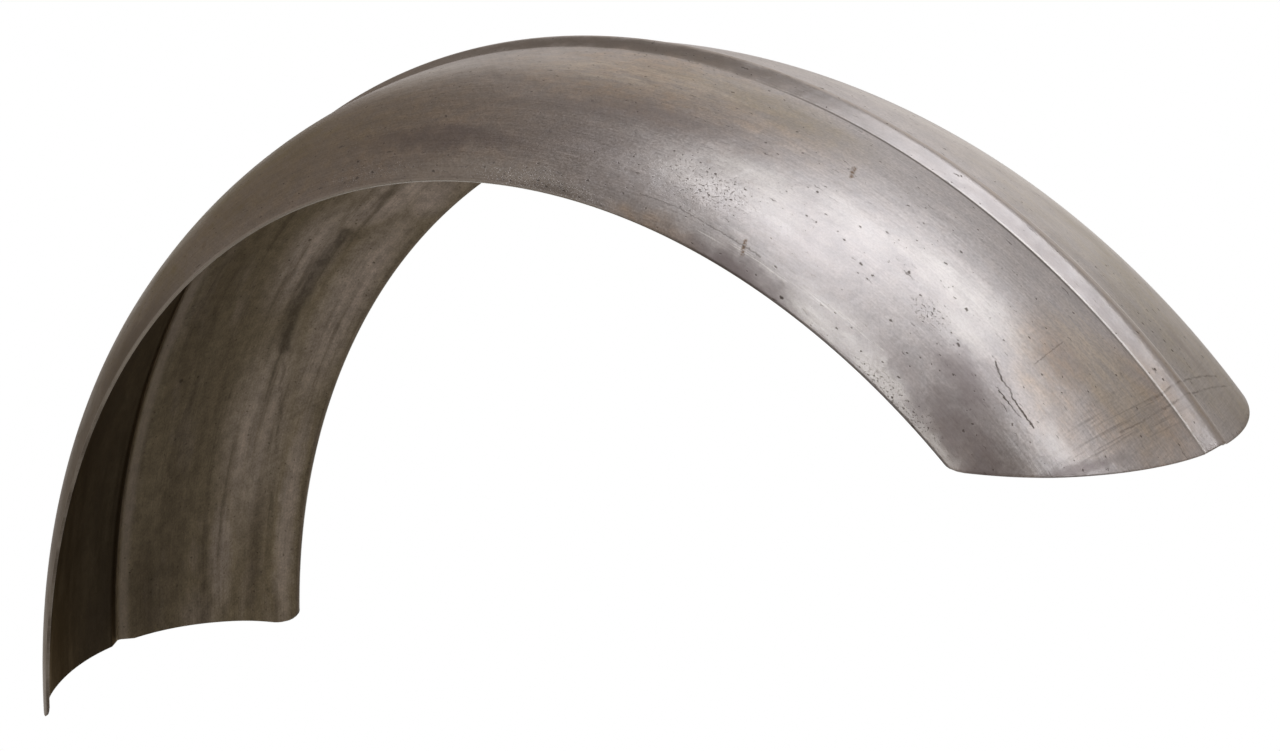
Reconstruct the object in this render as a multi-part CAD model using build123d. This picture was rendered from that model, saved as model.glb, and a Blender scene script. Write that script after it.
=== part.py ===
from build123d import *
import os
from math import acos, asin, atan2, cos, degrees, hypot, radians, sin, sqrt

# Rear mudguard blank for a motorcycle: one rolled steel sheet with a pressed centre rib.
# The sheet is a crowned channel swept round the wheel axle, with its two ends cut across and their
# rim corners rounded off.
# Frame: origin on the wheel axle, midway across the guard. +Y along the axle, +Z up,
# +X towards the rear of the machine. Millimetres and degrees.

# Sheet
sheet_thickness = 1.5
# Sweep round the axle, to the outside of the sheet beside the rib
crown_radius = 340.0
# Heights at which the two ends meet the crown, and the fall of the front end from there to its rims
front_end_height = 6.1
front_end_fall = 8.8
rear_end_height = 231.5
# Section across the guard, on the outside of the sheet: a shallow crown, then a tighter shoulder
crown_curve_radius = 112.0
shoulder_curve_radius = 59.0
shoulder_start_angle = 31.5
rim_angle = 63.0
# Rib pressed up along the middle of the crown
rib_base_width = 15.0
rib_height = 3.0
rib_crest_radius = 4.5
# Rounded rim corners of the two ends
front_corner_radius = 10.0
rear_corner_radius = 17.0


def polar(centre, radius, angle):
    """Point at an angle from straight outward, in the section as (across, outward)."""
    return centre[0] + radius * sin(radians(angle)), centre[1] + radius * cos(radians(angle))


# Centres of the section's arcs
crown_centre = (0.0, crown_radius - crown_curve_radius)
shoulder_centre = polar(crown_centre, crown_curve_radius - shoulder_curve_radius, shoulder_start_angle)
crest_centre = (0.0, crown_radius + rib_height - rib_crest_radius)

# The flank of the rib runs from the crest, tangent to it, to a root on the crown curve
root_across = rib_base_width / 2
root_outward = crown_centre[1] + sqrt(crown_curve_radius**2 - root_across**2)
root_distance = hypot(root_across, root_outward - crest_centre[1])
root_bearing = degrees(atan2(root_across, root_outward - crest_centre[1]))
flank_angle = root_bearing - degrees(acos(rib_crest_radius / root_distance))


def root_angle(depth):
    """Bearing, from the centre of the crown curve, of the root at a depth below the outside."""
    start = Vector(*polar(crest_centre, rib_crest_radius - depth, flank_angle)) - Vector(*crown_centre)
    down_flank = Vector(cos(radians(flank_angle)), -sin(radians(flank_angle)))
    along = start.dot(down_flank)
    beyond_curve = start.length**2 - (crown_curve_radius - depth) ** 2
    root = start - down_flank * (along + sqrt(along**2 - beyond_curve))
    return degrees(atan2(root.X, root.Y))


def arc(centre, radius, start, end):
    """Arc of the section between two bearings."""
    middle = (start + end) / 2
    return ThreePointArc(polar(centre, radius, start), polar(centre, radius, middle), polar(centre, radius, end))


def half_section(depth):
    """Edges from the crest to the rim, on a line that lies a depth below the outside of the sheet."""
    flank_top = polar(crest_centre, rib_crest_radius - depth, flank_angle)
    root = polar(crown_centre, crown_curve_radius - depth, root_angle(depth))
    return [
        arc(crest_centre, rib_crest_radius - depth, 0, flank_angle),
        Line(flank_top, root),
        arc(crown_centre, crown_curve_radius - depth, root_angle(depth), shoulder_start_angle),
        arc(shoulder_centre, shoulder_curve_radius - depth, shoulder_start_angle, rim_angle),
    ]


def rim_point(depth):
    return polar(shoulder_centre, shoulder_curve_radius - depth, rim_angle)


def sheet_section():
    """Closed section of the sheet across the guard, in the plane through the axle."""
    outside = half_section(0)
    inside = half_section(sheet_thickness)
    rim = Line(rim_point(0), rim_point(sheet_thickness))
    half = [*outside, rim, *inside]
    return make_face([*half, *[edge.mirror(Plane.YZ) for edge in half]])


def swept_sheet():
    """The section carried round the axle, past both ends."""
    lowest_rear = degrees(asin(rear_end_height / (crown_radius + rib_height)))
    spare = 3.0
    start = lowest_rear - spare
    end = 180.0 + spare
    section = Plane.YZ * sheet_section()
    return revolve(section.rotate(Axis.Y, 90.0 - start), Axis.Y, -(end - start))


def end_waste(height, fall, corner_radius, side):
    """What an end cuts away, with the rim corners rounded off as the guard is seen from the side.

    The side is 1 for the rear end and -1 for the front end.
    """
    outward = Vector(side * cos(radians(fall)), sin(radians(fall)))
    into_sheet = Vector(-side * sin(radians(fall)), cos(radians(fall)))
    crown_end = Vector(side * sqrt(crown_radius**2 - height**2), height)
    rim_radius = rim_point(sheet_thickness)[1]
    centre_offset = crown_end.dot(into_sheet) + corner_radius
    centre_along = sqrt((rim_radius + corner_radius) ** 2 - centre_offset**2)
    centre = into_sheet * centre_offset + outward * centre_along
    to_axle = -centre.normalized()
    on_end = centre - into_sheet * corner_radius
    on_rim = centre + to_axle * corner_radius
    between = centre + (to_axle - into_sheet).normalized() * corner_radius
    clear_of_rim = on_rim + to_axle * corner_radius
    reach = 2 * crown_radius
    clear_of_crown = on_end + outward * reach
    beyond = Polyline(
        on_rim,
        clear_of_rim,
        clear_of_rim - into_sheet * reach,
        clear_of_crown - into_sheet * reach,
        clear_of_crown,
        on_end,
    )
    outline = make_face([ThreePointArc(on_end, between, on_rim), *beyond.edges()])
    return extrude(Plane.XZ * outline, crown_radius, both=True)


def rib_overhang():
    """What is trimmed off the rib so that its rear end stands square to the sheet."""
    angle = asin(rear_end_height / root_outward)
    radial = Vector(cos(angle), 0, sin(angle))
    backward = Vector(sin(angle), 0, -cos(angle))
    square_end = Plane(radial * root_outward, x_dir=radial, z_dir=backward)
    block = Box(4 * rib_height, rib_base_width, 4 * rib_height, align=(Align.CENTER, Align.CENTER, Align.MIN))
    return square_end * block


fender = (
    swept_sheet()
    - end_waste(rear_end_height, 0, rear_corner_radius, 1)
    - end_waste(front_end_height, front_end_fall, front_corner_radius, -1)
    - rib_overhang()
)

os.makedirs("parts", exist_ok=True)
export_step(fender, "parts/fender_shell.step")
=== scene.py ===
import math

import bmesh
import bpy
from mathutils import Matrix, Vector


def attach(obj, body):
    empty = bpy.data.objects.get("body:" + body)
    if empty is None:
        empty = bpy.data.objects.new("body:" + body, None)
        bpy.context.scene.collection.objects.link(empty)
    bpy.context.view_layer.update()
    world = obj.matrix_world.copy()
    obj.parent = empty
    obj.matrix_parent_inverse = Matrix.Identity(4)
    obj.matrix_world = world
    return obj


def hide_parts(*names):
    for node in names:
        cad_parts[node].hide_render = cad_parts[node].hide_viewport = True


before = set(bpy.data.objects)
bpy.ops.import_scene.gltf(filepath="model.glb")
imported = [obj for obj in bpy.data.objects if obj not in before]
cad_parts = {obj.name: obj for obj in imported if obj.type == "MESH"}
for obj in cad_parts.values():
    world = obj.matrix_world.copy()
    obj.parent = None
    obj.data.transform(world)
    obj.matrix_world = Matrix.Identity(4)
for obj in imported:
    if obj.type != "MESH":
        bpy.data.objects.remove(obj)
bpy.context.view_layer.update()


# small helpers for building node trees

def addNode(tree, kind, **settings):
    node = tree.nodes.new(kind)
    for name, value in settings.items():
        setattr(node, name, value)
    return node


def feed(tree, socket, value):
    if isinstance(value, bpy.types.NodeSocket):
        tree.links.new(value, socket)
    else:
        socket.default_value = value


def wired(tree, kind, values, **settings):
    node = addNode(tree, kind, **settings)
    for name, value in values.items():
        feed(tree, node.inputs[name], value)
    return node.outputs


def calc(tree, operation, a, b=0.0, c=0.0, clamp=False):
    node = addNode(tree, "ShaderNodeMath", operation=operation, use_clamp=clamp)
    for socket, value in zip(node.inputs, (a, b, c)):
        feed(tree, socket, value)
    return node.outputs[0]


def vectorCalc(tree, operation, a, b=(0.0, 0.0, 0.0), scale=None):
    node = addNode(tree, "ShaderNodeVectorMath", operation=operation)
    feed(tree, node.inputs[0], a)
    feed(tree, node.inputs[1], b)
    if scale is not None:
        feed(tree, node.inputs["Scale"], scale)
    return node.outputs["Value" if operation in ("DOT_PRODUCT", "DISTANCE") else "Vector"]


def splitVector(tree, vector):
    return wired(tree, "ShaderNodeSeparateXYZ", {"Vector": vector})


def joinVector(tree, x, y, z):
    return wired(tree, "ShaderNodeCombineXYZ", {"X": x, "Y": y, "Z": z})["Vector"]


def remap(tree, value, fromLow, fromHigh, toLow=0.0, toHigh=1.0, smooth=True):
    node = addNode(tree, "ShaderNodeMapRange", interpolation_type="SMOOTHSTEP" if smooth else "LINEAR")
    for socket, number in zip(node.inputs[:5], (value, fromLow, fromHigh, toLow, toHigh)):
        feed(tree, socket, number)
    return node.outputs[0]


def mixColour(tree, amount, a, b, blend="MIX"):
    node = addNode(tree, "ShaderNodeMix", data_type="RGBA", blend_type=blend)
    feed(tree, node.inputs[0], amount)
    feed(tree, node.inputs[6], a)
    feed(tree, node.inputs[7], b)
    return node.outputs[2]


def newGroup(name, kind, inputs, outputs):
    group = bpy.data.node_groups.new(name, kind)
    for side, sockets in (("INPUT", inputs), ("OUTPUT", outputs)):
        for socketName, socketType in sockets.items():
            group.interface.new_socket(socketName, in_out=side, socket_type="NodeSocket" + socketType)
    return group, addNode(group, "NodeGroupInput").outputs, addNode(group, "NodeGroupOutput").inputs


def placeGroup(tree, group, **values):
    kind = "GeometryNodeGroup" if group.bl_idname == "GeometryNodeTree" else "ShaderNodeGroup"
    return wired(tree, kind, values, node_tree=group)


def placeObject(name, data):
    obj = bpy.data.objects.new(name, data)
    bpy.context.scene.collection.objects.link(obj)
    return obj


# the sheet: one section rolled round the wheel axle, in metres and degrees

sheet = {
    "thickness": 0.0015,
    "crownRadius": 0.34,        # axle to the outside of the crown, beside the rib
    "crownCurve": 0.112,
    "shoulderCurve": 0.059,
    "shoulderStart": 31.5,
    "rimAngle": 63.0,
    "ribBase": 0.015,
    "ribHeight": 0.003,
    "crestRadius": 0.0045,
    "rootRadius": 0.0008,       # the press leaves a fine round in the rib's roots
    "rearHeight": 0.2315,
    "rearFall": 0.0,
    "rearCorner": 0.017,
    "frontHeight": 0.0061,
    "frontFall": 8.8,
    "frontCorner": 0.01,
    "cutEdgeRound": 0.0004,
    "edgeSteps": 4,
    "edgeLand": 0.0016,         # from a cut end to its first plain station
    "edgeFade": 0.7,            # a skin's side value of 1 falls by this much over the cut edge
    "skinSide": 0.8,            # faces beyond this side value are skin
    "mergeGap": 1e-6,
    "stations": 260,
    "crestSteps": 6,
    "flankSteps": 4,
    "rootSteps": 4,
    "crownSteps": 26,
    "shoulderSteps": 18,
}


def bearing(centre, radius, angle):
    return Vector((centre[0] + radius * math.sin(angle), centre[1] + radius * math.cos(angle)))


# outside of the section from the crest to the rim, as (across, outward) points with the bearing of their normals
def halfSection(s):
    shoulderStart, rimAngle = math.radians(s["shoulderStart"]), math.radians(s["rimAngle"])
    crownCentre = Vector((0.0, s["crownRadius"] - s["crownCurve"]))
    shoulderCentre = bearing(crownCentre, s["crownCurve"] - s["shoulderCurve"], shoulderStart)
    crestCentre = Vector((0.0, s["crownRadius"] + s["ribHeight"] - s["crestRadius"]))

    rootAcross = s["ribBase"] / 2
    root = Vector((rootAcross, crownCentre.y + math.sqrt(s["crownCurve"] ** 2 - rootAcross ** 2)))
    toRoot = root - crestCentre
    flank = math.atan2(toRoot.x, toRoot.y) - math.acos(s["crestRadius"] / toRoot.length)

    # the round in the root touches the flank and the crown curve
    start = bearing(crestCentre, s["crestRadius"] + s["rootRadius"], flank) - crownCentre
    downFlank = Vector((math.cos(flank), -math.sin(flank)))
    along = start.dot(downFlank)
    reach = s["crownCurve"] + s["rootRadius"]
    rootCentre = start - downFlank * (along + math.sqrt(along ** 2 - start.length_squared + reach ** 2))
    rootAngle = math.atan2(rootCentre.x, rootCentre.y)
    rootCentre += crownCentre

    def arc(centre, radius, first, last, steps):
        angles = [first + (last - first) * i / steps for i in range(1, steps + 1)]
        return [(bearing(centre, radius, a), a) for a in angles]

    flankTop = bearing(crestCentre, s["crestRadius"], flank)
    flankFoot = bearing(rootCentre, -s["rootRadius"], flank)
    points = [(bearing(crestCentre, s["crestRadius"], 0.0), 0.0)]
    points += arc(crestCentre, s["crestRadius"], 0.0, flank, s["crestSteps"])
    points += [(flankTop.lerp(flankFoot, i / s["flankSteps"]), flank) for i in range(1, s["flankSteps"] + 1)]
    points += arc(rootCentre, -s["rootRadius"], flank, rootAngle, s["rootSteps"])
    points += arc(crownCentre, s["crownCurve"], rootAngle, shoulderStart, s["crownSteps"])
    points += arc(shoulderCentre, s["shoulderCurve"], shoulderStart, rimAngle, s["shoulderSteps"])
    return points


# distance across the sheet of each of those points, from the middle of the crest
def sectionLengths(s):
    points = [p for p, a in halfSection(s)]
    lengths = [0.0]
    for p, q in zip(points, points[1:]):
        lengths.append(lengths[-1] + (q - p).length)
    return lengths


# side view of an end: the sweep angle at which a point that far from the axle is cut
def endAngle(s, end, side, across, outward):
    fall, height, corner = math.radians(s[end + "Fall"]), s[end + "Height"], s[end + "Corner"]
    facing = math.pi / 2 + side * fall          # direction square to the cut, into the sheet
    crownEnd = Vector((side * math.sqrt(s["crownRadius"] ** 2 - height ** 2), height))
    offset = crownEnd.dot(Vector((math.cos(facing), math.sin(facing))))
    rimRadius = min(p.y for p, a in halfSection(s)) - s["thickness"] * math.cos(math.radians(s["rimAngle"]))
    cornerReach = rimRadius + corner
    cornerAlong = math.sqrt(cornerReach ** 2 - (offset + corner) ** 2)
    if outward < math.hypot(offset, cornerAlong):
        cornerAngle = facing - side * math.acos((offset + corner) / cornerReach)
        spread = (cornerReach ** 2 + outward ** 2 - corner ** 2) / (2 * cornerReach * outward)
        return cornerAngle - side * math.acos(min(1.0, spread))
    angle = facing - side * math.acos(offset / outward)
    if end == "rear" and abs(across) < s["ribBase"] / 2:
        rootOutward = s["crownRadius"] - s["crownCurve"] + math.sqrt(s["crownCurve"] ** 2 - (s["ribBase"] / 2) ** 2)
        angle = max(angle, math.asin(height / rootOutward))     # the rib is trimmed square
    return angle


# closed line round the section: the outside from left to right, then the inside back again
def sectionLine(s):
    half = halfSection(s)
    t, e, steps = s["thickness"], s["cutEdgeRound"], s["edgeSteps"]
    lengths = sectionLengths(s)
    rim, rimAngle = half[-1]
    normal = Vector((math.sin(rimAngle), math.cos(rimAngle)))
    beyond = Vector((math.cos(rimAngle), -math.sin(rimAngle)))

    outside, inside = [], []
    for (p, a), length in zip(half[:-1], lengths):
        n = Vector((math.sin(a), math.cos(a)))
        outside.append((p, -n, length, 1.0))
        inside.append((p - n * t, n, length, -1.0))
    for i in range(steps + 1):
        turn = math.pi / 2 * i / steps
        side = 1.0 - s["edgeFade"] * i / steps
        up = normal * math.cos(turn) + beyond * math.sin(turn)
        down = beyond * math.sin(turn) - normal * math.cos(turn)
        outside.append((rim - (beyond + normal) * e + up * e, -up, lengths[-1], side))
        inside.append((rim - beyond * e - normal * (t - e) + down * e, -down, lengths[-1], -side))

    def mirrored(line):
        flipped = [(Vector((-p.x, p.y)), Vector((-w.x, w.y)), -length, side) for p, w, length, side in line[1:]]
        return flipped[::-1] + line
    return mirrored(outside) + mirrored(inside)[::-1]


# stations along the sweep: share of the way from rear to front, extra distance, and how far the cut edge rounds in
def stationLine(s):
    e, steps = s["cutEdgeRound"], s["edgeSteps"]
    turns = [math.pi / 2 * i / steps for i in range(steps + 1)]
    rounding = [(e * (1 - math.cos(a)), e * (1 - math.sin(a))) for a in turns] + [(s["edgeLand"], 0.0)]
    rear = [(0.0, d, inset) for d, inset in rounding]
    middle = [(i / s["stations"], 0.0, 0.0) for i in range(1, s["stations"])]
    front = [(1.0, -d, inset) for d, inset in rounding[::-1]]
    return rear + middle + front


def lineObject(name, points, attributes):
    mesh = bpy.data.meshes.new(name)
    mesh.from_pydata(points, [(i, i + 1) for i in range(len(points) - 1)], [])
    for attributeName, kind, values in attributes:
        attribute = mesh.attributes.new(attributeName, kind, "POINT")
        for item, value in zip(attribute.data, values):
            if kind == "FLOAT":
                item.value = value
            else:
                item.vector = value
    return placeObject(name, mesh)


def namedAttribute(tree, name, kind="FLOAT_VECTOR"):
    return wired(tree, "GeometryNodeInputNamedAttribute", {"Name": name}, data_type=kind)["Attribute"]


# one point of the rolled sheet, from its place on the section line and its station
def placeOnSheetGroup():
    group, source, result = newGroup(
        "placeOnSheet", "GeometryNodeTree",
        {"Section": "Geometry", "Stations": "Geometry", "Line Index": "Float", "Station Index": "Float",
         "Crown Radius": "Float"},
        {"Position": "Vector", "Sheet Place": "Vector"})

    def sample(geometry, index, attributeName, kind="FLOAT"):
        if attributeName == "position":
            value = addNode(group, "GeometryNodeInputPosition").outputs[0]
        else:
            value = namedAttribute(group, attributeName, kind)
        return wired(group, "GeometryNodeSampleIndex", {"Geometry": geometry, "Value": value, "Index": index},
                     data_type=kind, domain="POINT")["Value"]

    section, stations = source["Section"], source["Stations"]
    line, station = source["Line Index"], source["Station Index"]
    share, extra, inset = splitVector(group, sample(stations, station, "position", "FLOAT_VECTOR"))
    point = vectorCalc(group, "ADD", sample(section, line, "position", "FLOAT_VECTOR"),
                       vectorCalc(group, "SCALE", sample(section, line, "inward", "FLOAT_VECTOR"), scale=inset))
    _, across, outward = splitVector(group, point)
    rear, front = sample(section, line, "rearAngle"), sample(section, line, "frontAngle")
    turned = calc(group, "MULTIPLY_ADD", calc(group, "SUBTRACT", front, rear), share, rear)
    angle = calc(group, "ADD", turned, calc(group, "DIVIDE", extra, outward))
    x, z = [calc(group, "MULTIPLY", outward, calc(group, turn, angle)) for turn in ("COSINE", "SINE")]
    feed(group, result["Position"], joinVector(group, x, across, z))
    along = calc(group, "MULTIPLY", angle, source["Crown Radius"])
    feed(group, result["Sheet Place"], joinVector(
        group, along, sample(section, line, "acrossLength"), sample(section, line, "faceSide")))
    return group


def rolledSheetTree():
    tree, source, result = newGroup(
        "rolledSheet", "GeometryNodeTree",
        {"Geometry": "Geometry", "Stations Line": "Object", "Line Points": "Int", "Station Count": "Int",
         "Crown Radius": "Float", "Merge Gap": "Float", "Skin Side": "Float", "Outside Steel": "Material",
         "Inside Steel": "Material", "Cut Steel": "Material"},
        {"Geometry": "Geometry"})
    place = placeOnSheetGroup()
    stationsLine = wired(tree, "GeometryNodeObjectInfo", {"Object": source["Stations Line"]})["Geometry"]
    points, stations = source["Line Points"], source["Station Count"]
    index = addNode(tree, "GeometryNodeInputIndex").outputs[0]
    join = addNode(tree, "GeometryNodeJoinGeometry")

    # a flat grid, moved point by point onto the sheet
    def rolledGrid(rows, columns, lineIndex, stationIndex):
        grid = wired(tree, "GeometryNodeMeshGrid", {"Vertices X": rows, "Vertices Y": columns})
        at = placeGroup(tree, place, **{
            "Section": source["Geometry"], "Stations": stationsLine, "Line Index": lineIndex,
            "Station Index": stationIndex, "Crown Radius": source["Crown Radius"]})
        stored = wired(tree, "GeometryNodeStoreNamedAttribute", {
            "Geometry": grid["Mesh"], "Name": "sheetPlace", "Value": at["Sheet Place"]},
            data_type="FLOAT_VECTOR", domain="POINT")
        moved = wired(tree, "GeometryNodeSetPosition", {"Geometry": stored["Geometry"], "Position": at["Position"]})
        feed(tree, join.inputs[0], moved["Geometry"])

    columns = calc(tree, "ADD", points, 1.0)
    column = calc(tree, "FLOORED_MODULO", index, columns)
    rolledGrid(stations, columns, calc(tree, "FLOORED_MODULO", column, points),
               calc(tree, "FLOOR", calc(tree, "DIVIDE", calc(tree, "ADD", index, 0.5), columns)))
    # the two cut ends, from the outside to the inside
    half = calc(tree, "DIVIDE", points, 2.0)
    onInside = calc(tree, "GREATER_THAN", index, calc(tree, "SUBTRACT", half, 0.5))
    pair = calc(tree, "FLOORED_MODULO", index, half)
    opposite = calc(tree, "SUBTRACT", calc(tree, "SUBTRACT", points, 1.0), pair)
    endLine = calc(tree, "MULTIPLY_ADD", calc(tree, "SUBTRACT", opposite, pair), onInside, pair)
    rolledGrid(2, half, endLine, 0.0)
    rolledGrid(2, half, endLine, calc(tree, "SUBTRACT", stations, 1.0))

    merged = wired(tree, "GeometryNodeMergeByDistance", {
        "Geometry": join.outputs[0], "Distance": source["Merge Gap"]})
    geometry = wired(tree, "GeometryNodeRealizeInstances", {"Geometry": merged["Geometry"]})["Geometry"]
    # the skins take their steel by face, and what is left is the cut edge
    side, skin = splitVector(tree, namedAttribute(tree, "sheetPlace"))[2], source["Skin Side"]
    for steel, chosen in (("Cut Steel", True), ("Outside Steel", calc(tree, "GREATER_THAN", side, skin)),
                          ("Inside Steel", calc(tree, "LESS_THAN", side, calc(tree, "MULTIPLY", skin, -1.0)))):
        geometry = wired(tree, "GeometryNodeSetMaterial", {
            "Geometry": geometry, "Selection": chosen, "Material": source[steel]})["Geometry"]
    feed(tree, result["Geometry"], geometry)
    return tree


def rollSheet(s, steels):
    points, inward, lengths, sides = zip(*sectionLine(s))
    section = lineObject("fenderSheet", [(0.0, *p) for p in points], [
        ("inward", "FLOAT_VECTOR", [(0.0, *w) for w in inward]),
        ("acrossLength", "FLOAT", lengths),
        ("faceSide", "FLOAT", sides),
        ("rearAngle", "FLOAT", [endAngle(s, "rear", 1, *p) for p in points]),
        ("frontAngle", "FLOAT", [endAngle(s, "front", -1, *p) for p in points]),
    ])
    stations = stationLine(s)
    stationsObject = lineObject("stationsLine", stations, [])

    tree = rolledSheetTree()
    roll = section.modifiers.new("rollSheet", "NODES")
    roll.node_group = tree
    values = {"Stations Line": stationsObject, "Line Points": len(points), "Station Count": len(stations),
              "Crown Radius": s["crownRadius"], "Merge Gap": s["mergeGap"], "Skin Side": s["skinSide"], **steels}
    for item in tree.interface.items_tree:
        if item.in_out == "INPUT" and item.name in values:
            roll[item.identifier] = values[item.name]
    evaluated = section.evaluated_get(bpy.context.evaluated_depsgraph_get())
    mesh = bpy.data.meshes.new_from_object(evaluated)
    for i in reversed(range(len(mesh.materials))):
        if mesh.materials[i] is None:
            mesh.materials.pop(index=i)
    section.modifiers.clear()
    section.data = mesh
    bpy.data.objects.remove(stationsObject)

    work = bmesh.new()
    work.from_mesh(mesh)
    bmesh.ops.recalc_face_normals(work, faces=work.faces)
    for face in work.faces:
        face.smooth = True
    openEdges = sum(1 for edge in work.edges if not edge.is_manifold)
    work.to_mesh(mesh)
    work.free()
    print("sheet rolled:", len(mesh.polygons), "faces,", openEdges, "open edges,", [m.name for m in mesh.materials])
    return section


# shader groups shared by the steels: each gives a mask or a value that varies over the sheet

pattern = {
    "lineRange": (0.27, 0.73),          # spread of the noise that counts
    "cloudRange": (0.3, 0.7),
    "cloudNoise": (5.0, 0.6),           # detail and roughness
    "wanderDetail": 2.0,
    "speckSize": (0.75, 0.3),           # spread of sizes, and the least
    # edges, as shares of a spot's or mark's reach: where it starts to fade, where it ends
    "speckEdge": (0.55, 1.1, 1.0, 0.0),
    "patchEdge": (0.15, 1.0, 1.0, 0.0),
    "strokeEdge": (0.2, 1.0, 1.0, 0.0),
}


def noiseAt(tree, vector, detail=3.0, roughness=0.55):
    return wired(tree, "ShaderNodeTexNoise", {
        "Vector": vector, "Scale": 1.0, "Detail": detail, "Roughness": roughness})


# fine lines left by the rolls, long in one direction
def rollLinesGroup():
    group, source, result = newGroup(
        "rollLines", "ShaderNodeTree",
        {"Place": "Vector", "Spacing": "Float", "Stretch": "Float", "Slant": "Float", "Seed": "Float"},
        {"Lines": "Float"})
    along, across, _ = splitVector(group, source["Place"])
    sheared = calc(group, "SUBTRACT", across, calc(group, "MULTIPLY", along, source["Slant"]))
    length = calc(group, "MULTIPLY", source["Spacing"], source["Stretch"])
    at = joinVector(group, calc(group, "DIVIDE", along, length),
                    calc(group, "DIVIDE", sheared, source["Spacing"]), source["Seed"])
    feed(group, result["Lines"], remap(group, noiseAt(group, at)[0], *pattern["lineRange"], smooth=False))
    return group


# broad uneven tone
def cloudGroup():
    group, source, result = newGroup(
        "cloud", "ShaderNodeTree", {"Place": "Vector", "Size": "Vector", "Seed": "Float"},
        {"Cloud": "Float"})
    x, y, _ = splitVector(group, vectorCalc(group, "DIVIDE", source["Place"], source["Size"]))
    at = joinVector(group, x, y, source["Seed"])
    noise = noiseAt(group, at, *pattern["cloudNoise"])[0]
    feed(group, result["Cloud"], remap(group, noise, *pattern["cloudRange"]))
    return group


# scattered small spots, some of the cells of a given size
def specksGroup():
    group, source, result = newGroup(
        "specks", "ShaderNodeTree",
        {"Place": "Vector", "Cell": "Float", "Share": "Float", "Size": "Float", "Seed": "Float"},
        {"Mask": "Float"})
    scaled = vectorCalc(group, "DIVIDE", source["Place"], joinVector(group, source["Cell"], source["Cell"], 1.0))
    moved = vectorCalc(group, "ADD", scaled, joinVector(group, source["Seed"], source["Seed"], 0.0))
    cells = wired(group, "ShaderNodeTexVoronoi", {"Vector": moved, "Scale": 1.0}, voronoi_dimensions="2D")
    pick, vary, _ = splitVector(group, cells["Color"])
    chosen = calc(group, "LESS_THAN", pick, source["Share"])
    uneven = calc(group, "MULTIPLY_ADD", calc(group, "MULTIPLY", vary, vary), *pattern["speckSize"])
    size = calc(group, "DIVIDE", calc(group, "MULTIPLY", source["Size"], uneven), source["Cell"])
    spot = remap(group, calc(group, "DIVIDE", cells["Distance"], size), *pattern["speckEdge"])
    feed(group, result["Mask"], calc(group, "MULTIPLY", spot, chosen))
    return group


# one soft patch, with the two directions scaled to its reach
def patchGroup():
    group, source, result = newGroup(
        "patch", "ShaderNodeTree", {"Place": "Vector", "Centre": "Vector", "Along": "Vector", "Across": "Vector"},
        {"Mask": "Float"})
    offset = vectorCalc(group, "SUBTRACT", source["Place"], source["Centre"])
    x = vectorCalc(group, "DOT_PRODUCT", offset, source["Along"])
    y = vectorCalc(group, "DOT_PRODUCT", offset, source["Across"])
    span = calc(group, "SQRT", calc(group, "MULTIPLY_ADD", x, x, calc(group, "MULTIPLY", y, y)))
    feed(group, result["Mask"], remap(group, span, *pattern["patchEdge"]))
    return group


# one straight mark between two places
def strokeGroup():
    group, source, result = newGroup(
        "stroke", "ShaderNodeTree", {"Place": "Vector", "Start": "Vector", "End": "Vector", "Width": "Float"},
        {"Mask": "Float"})
    flat = vectorCalc(group, "MULTIPLY", source["Place"], (1.0, 1.0, 0.0))
    fromStart = vectorCalc(group, "SUBTRACT", flat, source["Start"])
    line = vectorCalc(group, "SUBTRACT", source["End"], source["Start"])
    share = calc(group, "DIVIDE", vectorCalc(group, "DOT_PRODUCT", fromStart, line),
                 vectorCalc(group, "DOT_PRODUCT", line, line), clamp=True)
    nearest = vectorCalc(group, "SCALE", line, scale=share)
    gap = calc(group, "DIVIDE", vectorCalc(group, "DISTANCE", fromStart, nearest), source["Width"])
    feed(group, result["Mask"], remap(group, gap, *pattern["strokeEdge"]))
    return group


rollLines, cloud, specks, patch, stroke = rollLinesGroup(), cloudGroup(), specksGroup(), patchGroup(), strokeGroup()


# steel finishes, placed by distance along the sweep and across the sheet

def sheetPlace(tree):
    node = addNode(tree, "ShaderNodeAttribute", attribute_type="GEOMETRY", attribute_name="sheetPlace")
    return node.outputs["Vector"]


def cloudAt(tree, place, values):
    along, across, seed = values
    return placeGroup(tree, cloud, Place=place, Size=(along, across, 1.0), Seed=seed)[0]


def linesAt(tree, place, values):
    spacing, stretch, slant, seed = values
    return placeGroup(tree, rollLines, Place=place, Spacing=spacing, Stretch=stretch, Slant=slant, Seed=seed)[0]


def specksAt(tree, place, values, share):
    cell, size, seed, strength = values
    mask = placeGroup(tree, specks, Place=place, Cell=cell, Share=share, Size=size, Seed=seed)[0]
    return calc(tree, "MULTIPLY", mask, strength)


def wander(tree, place, size, amount):
    shift = noiseAt(tree, vectorCalc(tree, "SCALE", place, scale=1.0 / size), pattern["wanderDetail"])["Color"]
    centred = vectorCalc(tree, "SUBTRACT", shift, (0.5, 0.5, 0.5))
    return vectorCalc(tree, "ADD", place, vectorCalc(tree, "SCALE", centred, scale=amount))


def allOf(tree, masks):
    total = masks[0]
    for mask in masks[1:]:
        total = calc(tree, "MAXIMUM", total, mask)
    return total


def times(tree, *factors, clamp=False):
    total = factors[0]
    for i, factor in enumerate(factors[1:], 2):
        total = calc(tree, "MULTIPLY", total, factor, clamp=clamp and i == len(factors))
    return total


# a start value and shares of others on top of it
def summed(tree, total, shares, **values):
    for name, value in values.items():
        total = calc(tree, "MULTIPLY_ADD", value, shares[name], total)
    return total


# a value that swings evenly about its middle
def swing(tree, value, amount):
    return calc(tree, "MULTIPLY", calc(tree, "SUBTRACT", value, 0.5), amount)


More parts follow.
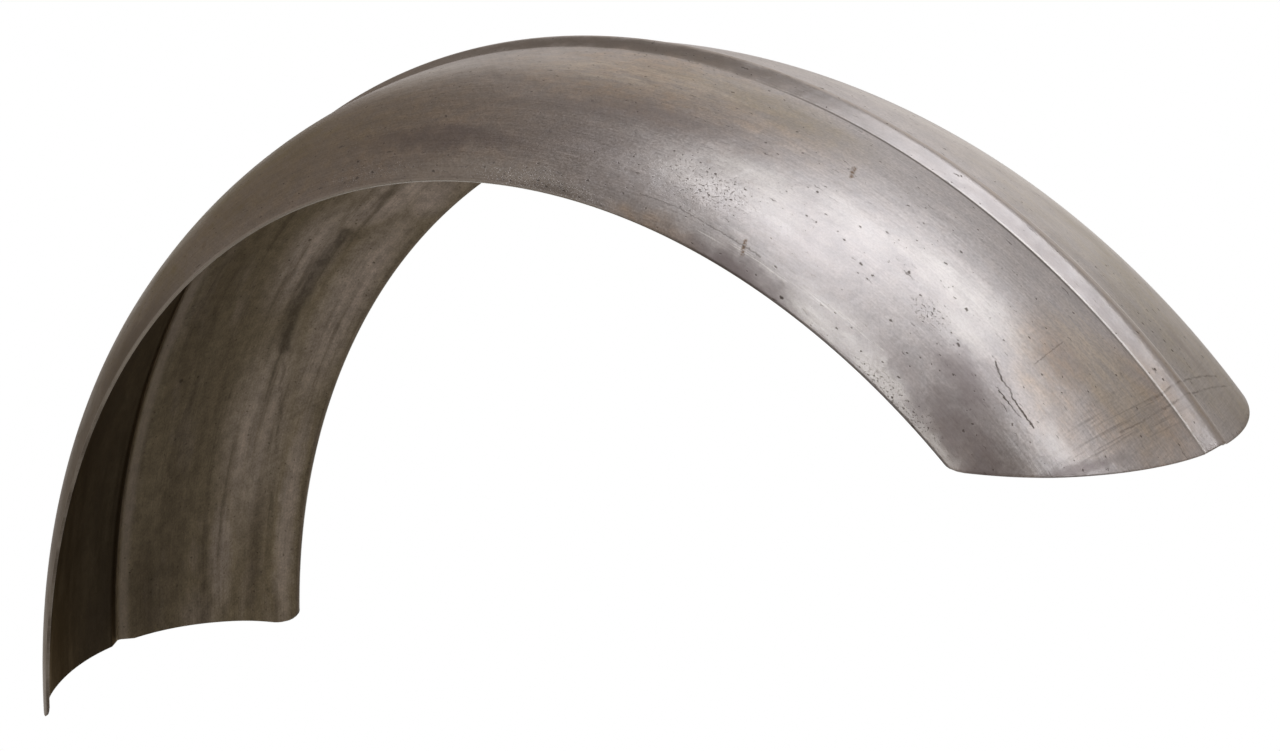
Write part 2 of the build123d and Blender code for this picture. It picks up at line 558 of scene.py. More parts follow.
# light and dark of several patterns together, each between its two tones
def toneOf(tree, tones, **values):
    return times(tree, *[remap(tree, value, 0.0, 1.0, *tones[name], smooth=False)
                         for name, value in values.items()])


def softLine(tree, value, centre, core, reach, strength):
    offset = calc(tree, "ABSOLUTE", calc(tree, "SUBTRACT", value, centre))
    return remap(tree, offset, core, reach, strength, 0.0)


def patchMask(tree, place, patches):
    masks = []
    for x, y, length, width, strength, *slant in patches:
        mask = placeGroup(tree, patch, Place=place, Centre=(x, y, 0.0), Along=(1 / length, 0.0, 0.0),
                          Across=(-sum(slant) / width, 1 / width, 0.0))[0]
        masks.append(calc(tree, "MULTIPLY", strength, mask))
    return allOf(tree, masks)


def strokeMask(tree, place, f, name):
    width = f["widths"][name]
    return allOf(tree, [placeGroup(tree, stroke, Place=place, Start=(*a, 0.0), End=(*b, 0.0), Width=width)[0]
                        for line in f[name] for a, b in zip(line, line[1:])])


# coats of a finish laid over each other, each named for its colour
def layered(tree, colour, f, **masks):
    for name, mask in masks.items():
        colour = mixColour(tree, mask, colour, f[name])
    return colour


def shaded(tree, colour, tone):
    return mixColour(tree, 1.0, colour, joinVector(tree, tone, tone, tone), "MULTIPLY")


def newMaterial(name):
    material = bpy.data.materials.new(name)
    material.use_nodes = True
    tree = material.node_tree
    return material, tree, tree.nodes["Principled BSDF"]


def dressSteel(tree, shader, f, colour, rough, height):
    normal = wired(tree, "ShaderNodeBump", {"Distance": 1.0, "Height": height})["Normal"]
    for name, value in (("Base Color", colour), ("Roughness", rough), ("Normal", normal), ("Metallic", 1.0),
                        ("Specular Tint", f["grazing"])):
        feed(tree, shader.inputs[name], value)


outsideFinish = {
    "bright": (0.604, 0.587, 0.612, 1.0),
    "film": (0.543, 0.466, 0.412, 1.0),         # thin brown film
    "olive": (0.425, 0.388, 0.305, 1.0),
    "dull": (0.294, 0.26, 0.27, 1.0),           # dark grey mill scale, and painted shade
    # worn steel, also used for painted highlights
    "worn": (0.85, 0.835, 0.84, 1.0),
    "pale": (0.742, 0.668, 0.592, 1.0),         # rubbed film
    "shade": (0.2, 0.165, 0.138, 1.0),          # painted shade, dark brown
    "crest": (0.43, 0.365, 0.312, 1.0),
    # dark of pits and marks, also painted shade beside the near crease
    "pit": (0.09, 0.072, 0.062, 1.0),
    "rust": (0.23, 0.16, 0.11, 1.0),
    "grazing": (1.0, 0.97, 0.93, 1.0),
    "roughness": 0.31,
    "roughBy": {"broad": 0.06, "lines": 0.05, "grain": 0.08, "dull": 0.05, "dark": 0.25},
    "heightBy": {"swell": 0.0003, "lines": 0.00001, "mottle": 0.000022, "pits": -0.00008},
    # how far edges stray: size, amount
    "ragged": (0.01, 0.012),
    "shaky": (0.0014, 0.0014),
    # uneven tone: size along, size across, seed
    "broad": (0.046, 0.02, 3.0),
    "mottle": (0.0085, 0.005, 11.0),
    "grain": (0.0013, 0.0008, 13.0),
    "swell": (0.085, 0.05, 14.0),               # hand-rolled unevenness
    # lines: spacing, stretch, slant, seed
    "lines": (0.0007, 38.0, 0.0, 5.0),
    "bands": (0.005, 22.0, 0.0, 8.0),
    "hatch": (0.0018, 14.0, 0.9, 2.0),
    "streaks": (0.0019, 10.0, 0.0, 27.0),
    "drags": (0.0013, 7.0, 0.03, 21.0),
    "filed": (0.0008, 14.0, 0.22, 17.0),
    "drips": (0.0011, 24.0, -0.02, 25.0),
    # specks: cell, size, seed, strength
    "fineSpecks": (0.0021, 0.00038, 1.0, 0.68),
    "coarseSpecks": (0.01, 0.00058, 6.0, 0.78),
    "rustSpecks": (0.042, 0.0024, 9.0, 0.2),
    "coarseShare": 0.4,
    "rustShare": 0.25,
    "pitDensity": (0.46, 0.1),                  # gain in the fields, and everywhere
    "pitStretch": (0.45, 1.0, 1.0),
    # tone from dark to light
    "tones": {"lines": (0.91, 1.09), "bands": (0.95, 1.05), "grain": (0.88, 1.11)},
    "mottleTone": (0.19, 0.12),                 # gain in the film, and everywhere
    # soft lines: centre, core, reach, strength
    "crestLine": (0.0012, 0.0008, 0.0036, 0.55),
    # painted highlight along the near crease, and painted shade beside it
    "creaseLine": (0.0003, 0.0002, 0.0006, 1.0),
    "shadeLine": (-0.0006, 0.0003, 0.0008, 0.62),
    # ramps over the clouds and lines: from, to, amount at each
    "filmBroad": (0.0, 1.0, 0.55, 1.15),
    "filmMottle": (0.0, 1.0, 0.75, 1.2),
    "filmOver": 0.14,
    "crestMottle": (0.0, 1.0, 0.6, 1.15),
    "scaleAndShadeBroad": (0.0, 1.0, 0.8, 1.1),
    "wornGrain": (0.0, 1.0, 0.75, 1.2),
    "wornStreaks": (0.1, 0.8, 0.62, 1.12),
    "paleStreaks": (0.18, 0.86),
    "paleGrain": (0.1, 0.8, 0.55, 1.15),
    "scratchLines": (0.4, 0.75, 0.0, 0.95),
    "pitBroad": (0.55, 1.0, 0.0, 0.4),
    "fleckGrain": (0.66, 0.95, 0.0, 0.62),
    "dragDepth": (0.84, 1.0, 0.0, 0.55),
    "dripDepth": (0.48, 0.92, 0.0, 0.34),
    "crackDepth": (0.1, 0.8, 0.35, 0.8),
    "stainDepth": (0.1, 0.8, 0.12, 0.42),
    "spillDepth": (0.2, 0.8, 0.3, 0.9),
    # ramps along the sheet
    "hatchAlong": (0.38, 0.6, 0.04, 0.11),
    "filedAlong": (0.315, 0.275, 0.0, 0.2),
    "creaseAlong": (0.33, 0.42, 0.75, 0.12),
    "rimAlong": (0.44, 0.52, 0.0, 0.46),
    "rimFade": (0.8, 0.92, 1.0, 0.3),
    "rimLineAlong": (0.42, 0.52, 0.6, 0.0),
    "shadeLineAlong": (0.28, 0.36, 0.35, 1.0),
    "shadeLineFade": (0.44, 0.52, 1.0, 0.0),
    # ramps across it, from the rib's roots or from the rim
    "ribCalm": (0.0, -0.001, 0.0, 0.45),
    "farCreaseIn": (-0.003, -0.0016),
    "farCreaseOut": (0.0004, -0.0001),
    "rimEdge": (-0.0012, -0.0003),
    "rimLineEdge": (-0.0009, -0.0004),
    # patches: centre, reach, strength, and a slant if any
    "filmPatches": [
        (0.52, -0.03, 0.125, 0.034, 0.9), (0.28, -0.022, 0.04, 0.034, 0.75), (0.64, -0.07, 0.17, 0.06, 0.5),
        (0.47, -0.0935, 0.035, 0.008, 0.9), (0.3, -0.085, 0.03, 0.012, 0.35), (0.312, -0.036, 0.03, 0.02, 0.8),
        (0.296, -0.052, 0.032, 0.016, 0.65), (0.275, -0.041, 0.017, 0.014, 0.65),
    ],
    "olivePatches": [
        (0.31, 0.034, 0.16, 0.04, 0.5), (0.29, -0.025, 0.03, 0.016, 0.4), (0.47, -0.022, 0.07, 0.014, 0.5),
        (0.78, -0.06, 0.21, 0.046, 1.0), (0.96, -0.085, 0.21, 0.045, 1.0),
    ],
    # mill scale and painted shade: dark patches on the near panel, on the rib flank and by the rims
    "scaleAndShadePatches": [
        (0.425, -0.0935, 0.048, 0.0085, 0.85), (0.308, -0.0825, 0.04, 0.015, 0.78, -0.1),
        (0.34, -0.083, 0.028, 0.008, 0.3, 0.1), (0.59, -0.0755, 0.08, 0.0085, 0.64, 0.03),
        (0.505, -0.0515, 0.085, 0.011, 0.42, -0.108), (0.98, -0.085, 0.2, 0.045, 0.35),
        (0.262, -0.062, 0.012, 0.03, 0.45), (0.321, -0.07, 0.03, 0.012, 0.66),
        (0.2712, -0.056, 0.009, 0.015, 0.75, -2.17), (0.335, -0.0055, 0.09, 0.004, 0.26),
        (0.52, -0.07, 0.06, 0.016, 0.36), (0.32, -0.0606, 0.016, 0.006, 0.3), (0.405, -0.075, 0.036, 0.011, 0.14),
        (0.285, -0.057, 0.016, 0.013, 0.16), (0.294, -0.0835, 0.018, 0.012, 0.95),
        (0.498, -0.083, 0.046, 0.012, 0.22), (0.312, -0.035, 0.016, 0.01, 0.18),
        (0.294, 0.027, 0.024, 0.005, 0.34, -0.15),
    ],
    # painted shade on the rib and along the near rim strips
    "shadePatches": [
        (0.54, -0.0045, 0.15, 0.007, 0.48), (0.525, -0.093, 0.034, 0.004, 0.45), (0.96, -0.085, 0.15, 0.034, 0.74),
        (0.838, -0.0925, 0.085, 0.015, 0.56),
    ],
    "palePatches": [
        (0.528, -0.03, 0.09, 0.014, 0.74), (0.308, -0.023, 0.032, 0.015, 0.72),
    ],
    # worn places by the rims, and painted highlights on the near panel and along the far outline
    "wornPatches": [
        (0.343, -0.0905, 0.036, 0.0062, 0.85, 0.04), (0.38, -0.0902, 0.03, 0.0054, 0.72),
        (0.312, -0.0936, 0.024, 0.0044, 0.85, 0.05), (0.57, -0.0905, 0.085, 0.007, 0.42),
        (0.466, -0.068, 0.04, 0.012, 0.42), (0.353, -0.046, 0.046, 0.012, 0.6), (0.645, -0.03, 0.05, 0.018, 0.4),
        (0.448, -0.059, 0.038, 0.01, 0.6), (0.378, -0.083, 0.03, 0.006, 0.22),
        (0.39, 0.046, 0.135, 0.015, 0.62, -0.227), (0.284, -0.06, 0.014, 0.006, 0.44),
        (0.339, -0.0572, 0.022, 0.0075, 0.55), (0.432, -0.0665, 0.03, 0.01, 0.32),
        (0.401, -0.052, 0.036, 0.012, 0.28),
    ],
    "stainField": [(0.278, -0.03, 0.017, 0.046, 1.0)],
    "pitField": [
        (0.352, -0.0612, 0.014, 0.007, 0.9), (0.46, -0.072, 0.04, 0.016, 0.8), (0.33, -0.092, 0.04, 0.007, 1.0),
        (0.64, -0.088, 0.06, 0.01, 0.7), (0.535, -0.0915, 0.055, 0.008, 1.0),
    ],
    # single marks, as lines of places, with their widths and strengths
    "crack": [[(0.322, -0.057), (0.3146, -0.0599), (0.3101, -0.0599), (0.3072, -0.0613), (0.2937, -0.0623)]],
    "branch": [[(0.3124, -0.0635), (0.2995, -0.0637)]],
    "scratch": [[(0.313, -0.0458), (0.3146, -0.0308)]],
    "rimScratch": [[(0.4489, -0.0878), (0.4254, -0.0859), (0.4003, -0.0854), (0.3694, -0.0834), (0.3539, -0.0839)]],
    "rimScore": [[(0.482, -0.0841), (0.4637, -0.0832), (0.4437, -0.0839), (0.4186, -0.0841)]],
    "spills": [[(0.4283, -0.0822), (0.427, -0.0849), (0.4257, -0.087)], [(0.4193, -0.0315), (0.4167, -0.0361)]],
    "stains": [
        [(0.2805, -0.0158), (0.2815, -0.0028), (0.2821, 0.0108), (0.2815, 0.0213), (0.2802, 0.0356)],
        [(0.2757, -0.0361), (0.2754, -0.0263), (0.276, -0.0066), (0.2766, 0.0042), (0.2763, 0.0199),
         (0.2754, 0.0396)],
    ],
    # spots, each drawn out a little along the sheet
    "spots": [[(a, b), (a - 0.0009, b - 0.0002)] for a, b in [
        (0.6443, -0.082), (0.6424, -0.0897), (0.633, -0.0885), (0.5944, -0.0908), (0.6008, -0.0653),
        (0.3449, -0.0506), (0.3855, -0.0644), (0.3703, -0.0551), (0.3359, -0.0627)]],
    "widths": {"crack": 0.00046, "branch": 0.00032, "scratch": 0.0004, "rimScratch": 0.0015,
               "rimScore": 0.0004, "spills": 0.0013, "stains": 0.0006, "spots": 0.0007},
    "scratchStrength": 0.35,
    "scoreStrength": 0.42,
    "spotStrength": 0.75,
}


def outsideSteel(f, rootAcross, rimAcross):
    material, tree, shader = newMaterial("outsideSteel")
    place = sheetPlace(tree)
    along, across, _ = splitVector(tree, place)
    crosswise = joinVector(tree, across, along, 0.0)
    fromMiddle = calc(tree, "ABSOLUTE", across)
    toRim = calc(tree, "SUBTRACT", fromMiddle, rimAcross)
    toRoot = calc(tree, "SUBTRACT", fromMiddle, rootAcross)
    nearRoot = calc(tree, "ADD", across, rootAcross)
    farRoot = calc(tree, "SUBTRACT", across, rootAcross)
    ragged, shaky = wander(tree, place, *f["ragged"]), wander(tree, place, *f["shaky"])
    broad, mottle, grain, swell = [cloudAt(tree, place, f[name]) for name in ("broad", "mottle", "grain", "swell")]
    lines, bands, hatch, streaks = [linesAt(tree, place, f[name]) for name in ("lines", "bands", "hatch", "streaks")]

    def ramp(value, name):
        return remap(tree, value, *f[name])

    def patches(name):
        return patchMask(tree, ragged, f[name])

    # brown and olive film, broken up by the clouds
    uneven = times(tree, ramp(broad, "filmBroad"), ramp(mottle, "filmMottle"))
    film = times(tree, patches("filmPatches"), uneven)
    film = calc(tree, "MULTIPLY_ADD", mottle, f["filmOver"], film, clamp=True)
    olive = times(tree, patches("olivePatches"), uneven, clamp=True)
    crest = times(tree, softLine(tree, across, *f["crestLine"]), ramp(mottle, "crestMottle"), clamp=True)
    colour = layered(tree, f["bright"], f, film=film, olive=olive, crest=crest)

    # rolling lines, bands and grain, a faint slanting hatch towards the front and file marks at the rear
    tone = toneOf(tree, f["tones"], lines=lines, bands=bands, grain=grain)
    mottled = swing(tree, mottle, calc(tree, "MULTIPLY_ADD", film, *f["mottleTone"]))
    tone = calc(tree, "MULTIPLY_ADD", tone, mottled, tone)
    tone = calc(tree, "ADD", tone, swing(tree, hatch, ramp(along, "hatchAlong")))
    filed = linesAt(tree, crosswise, f["filed"])
    tone = calc(tree, "ADD", tone, swing(tree, filed, ramp(along, "filedAlong")))
    calm = ramp(toRoot, "ribCalm")
    tone = calc(tree, "MULTIPLY_ADD", calc(tree, "SUBTRACT", 1.0, tone), calm, tone)
    colour = shaded(tree, colour, tone)

    # mill scale with painted shade, more painted shade on the rib and by the rims, rubbed film, and worn places with
    # painted highlights
    dull = times(tree, patches("scaleAndShadePatches"), ramp(broad, "scaleAndShadeBroad"), clamp=True)
    shade = patches("shadePatches")
    pale = times(tree, patches("palePatches"), ramp(streaks, "paleStreaks"), ramp(grain, "paleGrain"))
    worn = times(tree, patches("wornPatches"), ramp(grain, "wornGrain"), ramp(streaks, "wornStreaks"), clamp=True)
    colour = layered(tree, colour, f, dull=dull, shade=shade, pale=pale, worn=worn)

    # painted highlights along the rib's creases, rubbed rims and one long light scratch, then a dark line at the rim
    # and painted shade beside the near crease
    farCreaseHighlight = times(tree, ramp(farRoot, "farCreaseIn"), ramp(farRoot, "farCreaseOut"))
    creaseHighlight = calc(tree, "MAXIMUM", softLine(tree, nearRoot, *f["creaseLine"]), farCreaseHighlight)
    creaseHighlight = times(tree, creaseHighlight, ramp(along, "creaseAlong"))
    rim = times(tree, ramp(toRim, "rimEdge"), ramp(along, "rimAlong"), ramp(along, "rimFade"))
    lightScratch = times(tree, strokeMask(tree, shaky, f, "rimScratch"), ramp(lines, "scratchLines"))
    rimLine = times(tree, ramp(toRim, "rimLineEdge"), ramp(along, "rimLineAlong"))
    shadeLine = times(tree, softLine(tree, nearRoot, *f["shadeLine"]),
                      ramp(along, "shadeLineAlong"), ramp(along, "shadeLineFade"))
    colour = layered(tree, colour, f, worn=allOf(tree, [creaseHighlight, rim, lightScratch]),
                     pit=calc(tree, "MAXIMUM", rimLine, shadeLine))

    # pits and specks, thickest near the rim and in a few fields
    pitted = patches("pitField")
    field = calc(tree, "MAXIMUM", pitted, ramp(broad, "pitBroad"))
    dense = calc(tree, "MULTIPLY_ADD", field, *f["pitDensity"])
    drawnOut = vectorCalc(tree, "MULTIPLY", shaky, f["pitStretch"])
    fine = specksAt(tree, drawnOut, f["fineSpecks"], dense)
    coarse = specksAt(tree, drawnOut, f["coarseSpecks"], calc(tree, "MULTIPLY", dense, f["coarseShare"]))
    rusty = specksAt(tree, shaky, f["rustSpecks"], f["rustShare"])
    flecks = times(tree, pitted, ramp(grain, "fleckGrain"))
    pits = allOf(tree, [fine, coarse, flecks])

    # drawn scratches, a crack, single spots and the stains that run across
    drags = ramp(linesAt(tree, shaky, f["drags"]), "dragDepth")
    drips = times(tree, ramp(linesAt(tree, crosswise, f["drips"]), "dripDepth"), patches("stainField"))
    crack = calc(tree, "MAXIMUM", strokeMask(tree, shaky, f, "crack"), strokeMask(tree, shaky, f, "branch"))
    crack = times(tree, crack, ramp(mottle, "crackDepth"))
    scratch = times(tree, strokeMask(tree, shaky, f, "scratch"), f["scratchStrength"])
    score = times(tree, strokeMask(tree, shaky, f, "rimScore"), f["scoreStrength"])
    spots = times(tree, strokeMask(tree, shaky, f, "spots"), f["spotStrength"])
    stain = times(tree, strokeMask(tree, shaky, f, "stains"), ramp(mottle, "stainDepth"))
    spill = times(tree, strokeMask(tree, shaky, f, "spills"), ramp(grain, "spillDepth"))
    dark = allOf(tree, [pits, drags, crack, scratch, score, stain, drips, spots])
    colour = layered(tree, colour, f, rust=calc(tree, "MAXIMUM", rusty, spill), pit=dark)

    rough = summed(tree, f["roughness"], f["roughBy"], broad=broad, lines=lines, grain=grain, dull=dull, dark=dark)
    height = summed(tree, 0.0, f["heightBy"], swell=swell, lines=lines, mottle=mottle,
                    pits=calc(tree, "MAXIMUM", pits, crack))
    dressSteel(tree, shader, f, colour, rough, height)
    return material


insideFinish = {
    "metal": (0.294, 0.252, 0.182, 1.0),
    "light": (0.69, 0.616, 0.588, 1.0),
    "dark": (0.12, 0.096, 0.068, 1.0),
    # grime of the smear and specks, also painted shade over the near half
    "grime": (0.035, 0.027, 0.018, 1.0),
    # painted shade in the groove
    "soot": (0.02, 0.015, 0.01, 1.0),
    "grazing": (0.8, 0.68, 0.55, 1.0),
    "roughness": 0.5,
    "roughBy": {"broad": 0.1, "lines": 0.05, "spots": 0.15},
    "heightBy": {"swell": 0.0003, "mottle": 0.000022, "lines": 0.000012, "spots": -0.00006},
    # the same kinds of values as outside
    "ragged": (0.012, 0.005),
    "shaky": (0.0016, 0.0018),
    "broad": (0.06, 0.018, 31.0),
    "mottle": (0.0075, 0.005, 37.0),
    "grain": (0.0013, 0.0008, 38.0),
    "swell": (0.085, 0.05, 45.0),
    "lines": (0.0008, 34.0, 0.0, 33.0),
    "bands": (0.007, 20.0, 0.0, 35.0),
    "hatch": (0.0017, 12.0, -0.9, 39.0),
    "fineSpecks": (0.0036, 0.0006, 41.0, 0.35),
    "coarseSpecks": (0.018, 0.0012, 43.0, 0.5),
    "fineShare": 0.25,
    "coarseShare": 0.3,
    "tones": {"lines": (0.89, 1.11), "mottle": (0.84, 1.14), "grain": (0.84, 1.14), "bands": (0.86, 1.12)},
    "hatchTone": 0.12,
    "farTone": (0.005, 0.09, 0.7, 1.12),        # lighter towards the far rim
    # painted highlight on the groove's far lip
    "stripLine": (0.003, 0.0008, 0.004, 0.17),
    # painted shade on the groove's near wall
    "grooveLine": (-0.0062, 0.0014, 0.0036, 0.92),
    "rimEdge": (-0.0016, -0.0003, 0.0, 0.14),
    "lightBands": (0.0, 1.0, 0.6, 1.1),
    "lightBroad": (0.5, 1.0, 0.0, 0.16),
    "darkBands": (0.45, 0.1, 0.0, 0.35),
    # painted shade over the near half
    "sootAcross": (-0.006, -0.0085, 0.0, 0.76),
    "sootNear": (-0.02, -0.055, 0.93, 1.08),
    "sootAlong": (0.55, 0.75),
    "sootFront": (0.86, 1.02, 1.07, 1.13),
    "sootBroad": (0.0, 1.0, 0.92, 1.08),
    "lightPatches": [
        (1.0, 0.0862, 0.12, 0.007, 0.55), (0.798, 0.069, 0.034, 0.016, 0.65, -0.4),
        (1.025, 0.0545, 0.05, 0.009, 0.58), (0.772, 0.084, 0.034, 0.012, 0.7), (0.862, 0.083, 0.115, 0.016, 0.64),
        (0.76, 0.07, 0.07, 0.034, 0.62), (0.955, 0.064, 0.095, 0.024, 0.46), (0.84, 0.0545, 0.062, 0.018, 0.62),
        (1.06, 0.045, 0.022, 0.015, 0.36),
    ],
    "darkPatches": [
        (0.94, 0.038, 0.12, 0.01, 0.35), (1.02, 0.071, 0.07, 0.005, 0.45), (1.01, 0.028, 0.09, 0.014, 0.4),
        (0.88, 0.02, 0.09, 0.012, 0.3), (1.04, 0.014, 0.05, 0.014, 0.55),
    ],
    "smear": [[(0.8204, 0.0637), (0.8346, 0.0628), (0.8555, 0.0623), (0.8745, 0.0618), (0.8944, 0.0634),
               (0.9038, 0.0656)]],
    "smearTail": [[(0.9038, 0.0656), (0.9466, 0.0742), (0.9949, 0.0778), (1.0303, 0.0789)]],
    "widths": {"smear": 0.0052, "smearTail": 0.002},
    "smearDepth": (0.15, 0.85, 0.34, 0.64),
    "tailDepth": (0.3, 0.8, 0.0, 0.35),
}


def insideSteel(f, rimAcross):
    material, tree, shader = newMaterial("insideSteel")
    place = sheetPlace(tree)
    along, across, _ = splitVector(tree, place)
    toRim = calc(tree, "SUBTRACT", calc(tree, "ABSOLUTE", across), rimAcross)
    ragged, shaky = wander(tree, place, *f["ragged"]), wander(tree, place, *f["shaky"])
    broad, mottle, grain, swell = [cloudAt(tree, place, f[name]) for name in ("broad", "mottle", "grain", "swell")]
    lines, bands, hatch = [linesAt(tree, place, f[name]) for name in ("lines", "bands", "hatch")]

    def ramp(value, name):
        return remap(tree, value, *f[name])

    def patches(name):
        return patchMask(tree, ragged, f[name])

    # lighter and darker patches, then the tone of the rolled surface
    light = times(tree, patches("lightPatches"), ramp(bands, "lightBands"), clamp=True)
    light = calc(tree, "MAXIMUM", light, ramp(broad, "lightBroad"))
    dark = calc(tree, "MAXIMUM", patches("darkPatches"), ramp(bands, "darkBands"))
    colour = layered(tree, f["metal"], f, light=light, dark=dark)
    tone = toneOf(tree, f["tones"], lines=lines, mottle=mottle, grain=grain)
    tone = calc(tree, "ADD", tone, swing(tree, hatch, f["hatchTone"]))
    tone = times(tree, tone, toneOf(tree, f["tones"], bands=bands), remap(tree, across, *f["farTone"], smooth=False))
    colour = shaded(tree, colour, tone)

    # painted shade in the groove and over the near half, a smear with its tail, specks, and a painted highlight
    # beside the groove
    sooty = times(tree, ramp(across, "sootAcross"), ramp(across, "sootNear"),
                  ramp(along, "sootAlong"), ramp(along, "sootFront"), ramp(broad, "sootBroad"))
    smear = times(tree, strokeMask(tree, ragged, f, "smear"), ramp(mottle, "smearDepth"))
    tail = times(tree, strokeMask(tree, ragged, f, "smearTail"), ramp(mottle, "tailDepth"))
    spots = calc(tree, "MAXIMUM", specksAt(tree, shaky, f["fineSpecks"], f["fineShare"]),
                 specksAt(tree, shaky, f["coarseSpecks"], f["coarseShare"]))
    colour = layered(tree, colour, f, light=softLine(tree, across, *f["stripLine"]),
                     grime=allOf(tree, [smear, tail, spots, sooty]), soot=softLine(tree, across, *f["grooveLine"]))
    colour = layered(tree, colour, f, light=ramp(toRim, "rimEdge"))

    rough = summed(tree, f["roughness"], f["roughBy"], broad=broad, lines=lines, spots=spots)
    height = summed(tree, 0.0, f["heightBy"], swell=swell, mottle=mottle, lines=lines, spots=spots)
    dressSteel(tree, shader, f, colour, rough, height)
    return material


cutFinish = {
    "bright": (0.52, 0.48, 0.43, 1.0),
    "dark": (0.16, 0.135, 0.115, 1.0),
    "grazing": (1.0, 1.0, 1.0, 1.0),
    "roughness": 0.31,
    "roughBy": {"filed": 0.15},
    "heightBy": {"filed": 0.00002},
    "filed": (0.0006, 5.0, 1.4, 51.0),
    "blotch": (0.02, 0.004, 53.0),
    "filedDark": 0.15,
    "darkBlotch": (0.0, 1.0, 0.6, 1.2),
    "darkRear": (0.4, 0.56, 0.75, 0.15),
    "darkFront": (0.8, 0.92, 0.0, 0.7),
}


# sawn and filed edge, left dark towards both ends and rubbed bright between them
def cutSteel(f):
    material, tree, shader = newMaterial("cutSteel")
    place = sheetPlace(tree)
    along, _, _ = splitVector(tree, place)
    filed, blotch = linesAt(tree, place, f["filed"]), cloudAt(tree, place, f["blotch"])
    ends = calc(tree, "MAXIMUM", remap(tree, along, *f["darkRear"]), remap(tree, along, *f["darkFront"]))
    dark = calc(tree, "MULTIPLY_ADD", ends, remap(tree, blotch, *f["darkBlotch"]),
                calc(tree, "MULTIPLY", filed, f["filedDark"]), clamp=True)
    rough = summed(tree, f["roughness"], f["roughBy"], filed=filed)
    height = summed(tree, 0.0, f["heightBy"], filed=filed)
    dressSteel(tree, shader, f, layered(tree, f["bright"], f, dark=dark), rough, height)
    return material


acrossLengths = sectionLengths(sheet)
rootAcross = acrossLengths[sheet["crestSteps"] + sheet["flankSteps"] + sheet["rootSteps"] // 2]
rimAcross = acrossLengths[-1]
steels = {
    "Outside Steel": outsideSteel(outsideFinish, rootAcross, rimAcross),
    "Inside Steel": insideSteel(insideFinish, rimAcross),
    "Cut Steel": cutSteel(cutFinish),
}
print("steels made, rib root at", round(rootAcross, 5), "and rim at", round(rimAcross, 5))
fender = rollSheet(sheet, steels)
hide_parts("fender_shell")
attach(fender, "root")

# camera, from the fit of the section to the photograph's 1280 x 751 frame

cameraSetup = {
    "target": (-0.0156, 0.0, 0.2051),
    "azimuth": 39.96,
    "elevation": 17.45,
    "distance": 1.346,
    "lens": 94.165,
    "sensor": 36.0,
    "clip": (0.01, 50.0),
}


def aim(azimuth, elevation):
    a, e = math.radians(azimuth), math.radians(elevation)
    return Vector((math.sin(a) * math.cos(e), -math.cos(a) * math.cos(e), math.sin(e)))


def makeCamera(c):
    data = bpy.data.cameras.new("camera")
    data.lens = c["lens"]
    data.sensor_fit = "HORIZONTAL"
    data.sensor_width = c["sensor"]
    data.clip_start, data.clip_end = c["clip"]
    obj = placeObject("camera", data)
    back = aim(c["azimuth"], c["elevation"])
    obj.location = Vector(c["target"]) + back * c["distance"]
    obj.rotation_mode = "QUATERNION"
    obj.rotation_quaternion = (-back).to_track_quat("-Z", "Y")
    bpy.context.scene.camera = obj


makeCamera(cameraSetup)
print("camera placed")

# studio: a pale sweep, softboxes and a dim room

studio = {
    "floorHeight": -0.32,       # where the tyre meets the ground
    "floorSize": 14.0,
    "floorColour": (0.64, 0.63, 0.61, 1.0),
    "floorRoughness": 0.9,
    "room": (0.178, 0.143, 0.11, 1.0),
    "boxDistance": 4.2,
    "boxTarget": (0.0, 0.0, 0.25),
    "poolNear": 0.45,           # the white pool starts this far behind the axle
    "poolSlope": 0.212,         # half width of the pool for each metre from the camera's foot
    "poolSoft": 0.25,
    "poolFade": 0.3,
    "poolLeast": 0.01,          # keeps the slope finite at the camera's foot
}
softboxes = [   # name, azimuth, elevation, width and height as seen from the fender in degrees, radiance
    ("overheadBox", -19.0, 89.0, 27.9, 45.5, 1.56),
    ("keyBox", -28.9, 63.0, 8.0, 12.5, 3.23),
    ("stripBox", -5.6, 41.4, 5.8, 49.4, 4.0),
    ("sideBox", 76.4, 46.3, 9.6, 27.5, 3.5),
    ("highBox", 96.0, 69.3, 17.0, 7.6, 2.5),
    ("backBox", -151.7, 20.0, 50.3, 48.0, 0.48),
    ("rearBox", 167.8, 37.5, 80.0, 54.8, 0.26),
]


def makeSoftbox(s, name, azimuth, elevation, width, height, radiance):
    data = bpy.data.lights.new(name, "AREA")
    data.shape = "RECTANGLE"
    distance = s["boxDistance"]
    data.size, data.size_y = [2 * distance * math.tan(math.radians(angle) / 2) for angle in (width, height)]
    data.energy = radiance * data.size * data.size_y * math.pi
    obj = placeObject(name, data)
    toward = aim(azimuth, elevation)
    obj.location = Vector(s["boxTarget"]) + toward * distance
    obj.rotation_mode = "QUATERNION"
    obj.rotation_quaternion = toward.to_track_quat("Z", "Y")


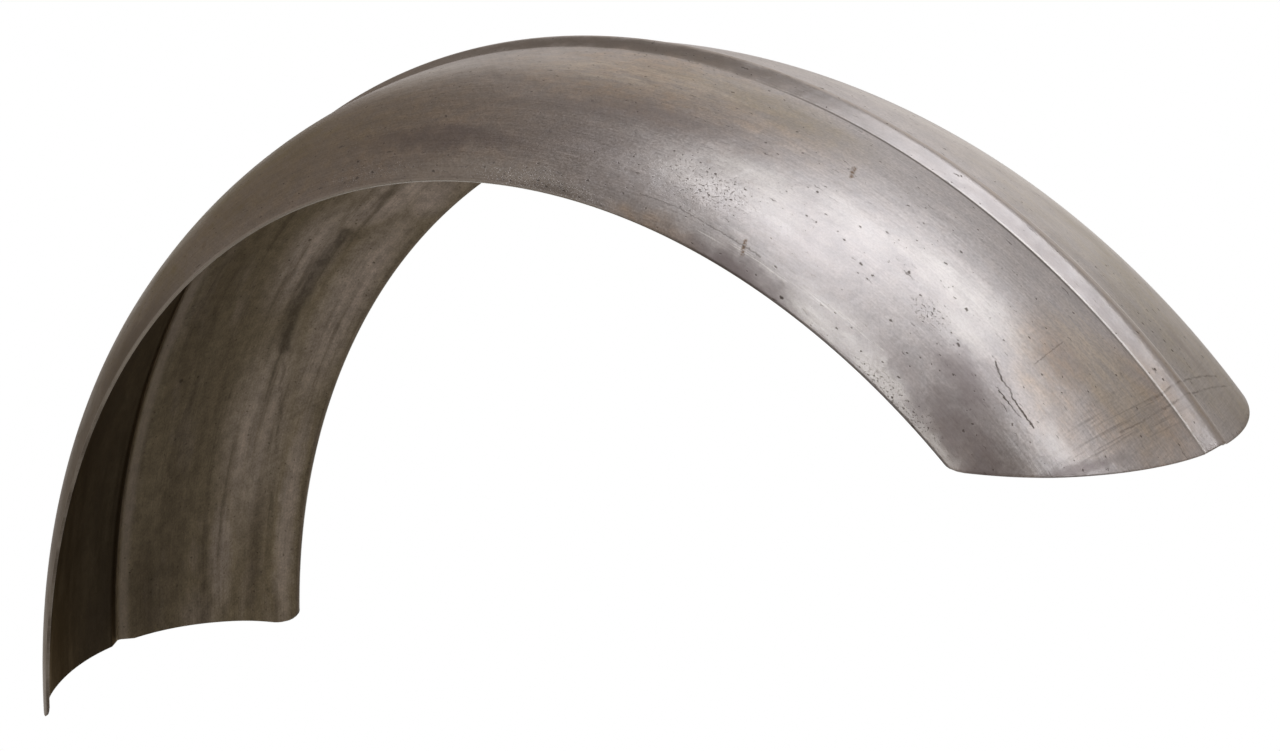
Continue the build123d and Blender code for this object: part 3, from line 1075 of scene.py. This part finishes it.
def makeFloor(s, c):
    half, z = s["floorSize"] / 2, s["floorHeight"]
    mesh = bpy.data.meshes.new("paleFloor")
    mesh.from_pydata([(-half, -half, z), (half, -half, z), (half, half, z), (-half, half, z)], [], [(0, 1, 2, 3)])
    floor = placeObject("paleFloor", mesh)

    material, tree, shader = newMaterial("palePaper")
    shader.inputs["Base Color"].default_value = s["floorColour"]
    shader.inputs["Roughness"].default_value = s["floorRoughness"]
    place = addNode(tree, "ShaderNodeTexCoord").outputs["Object"]
    behind = -aim(c["azimuth"], 0.0)
    left = Vector((-behind.y, behind.x, 0.0))
    foot = Vector(c["target"]) - behind * c["distance"] * math.cos(math.radians(c["elevation"]))
    fromFoot = vectorCalc(tree, "SUBTRACT", place, tuple(foot))
    depth = vectorCalc(tree, "DOT_PRODUCT", fromFoot, tuple(behind))
    lateral = calc(tree, "ABSOLUTE", vectorCalc(tree, "DOT_PRODUCT", fromFoot, tuple(left)))
    spread = calc(tree, "DIVIDE", lateral, calc(tree, "MAXIMUM", depth, s["poolLeast"]))
    near = s["poolNear"] - foot.dot(behind)
    across = remap(tree, spread, s["poolSlope"], s["poolSlope"] + s["poolSoft"], 1.0, 0.0)
    pool = calc(tree, "MULTIPLY", across, remap(tree, depth, near, near + s["poolFade"]))
    light = addNode(tree, "ShaderNodeLightPath").outputs
    seen = allOf(tree, [light[name] for name in ("Is Camera Ray", "Is Glossy Ray", "Is Transmission Ray")])
    glow = addNode(tree, "ShaderNodeEmission")
    mix = addNode(tree, "ShaderNodeMixShader")
    feed(tree, mix.inputs[0], calc(tree, "MULTIPLY", pool, seen))
    feed(tree, mix.inputs[1], shader.outputs[0])
    feed(tree, mix.inputs[2], glow.outputs[0])
    feed(tree, tree.nodes["Material Output"].inputs["Surface"], mix.outputs[0])
    mesh.materials.append(material)


def makeRoom(s):
    world = bpy.data.worlds.new("room")
    bpy.context.scene.world = world
    world.use_nodes = True
    background = world.node_tree.nodes["Background"]
    background.inputs["Color"].default_value = s["room"]


makeFloor(studio, cameraSetup)
makeRoom(studio)
for box in softboxes:
    makeSoftbox(studio, *box)
bpy.context.scene.view_settings.view_transform = "Standard"
print("studio lit by", len(softboxes), "softboxes")
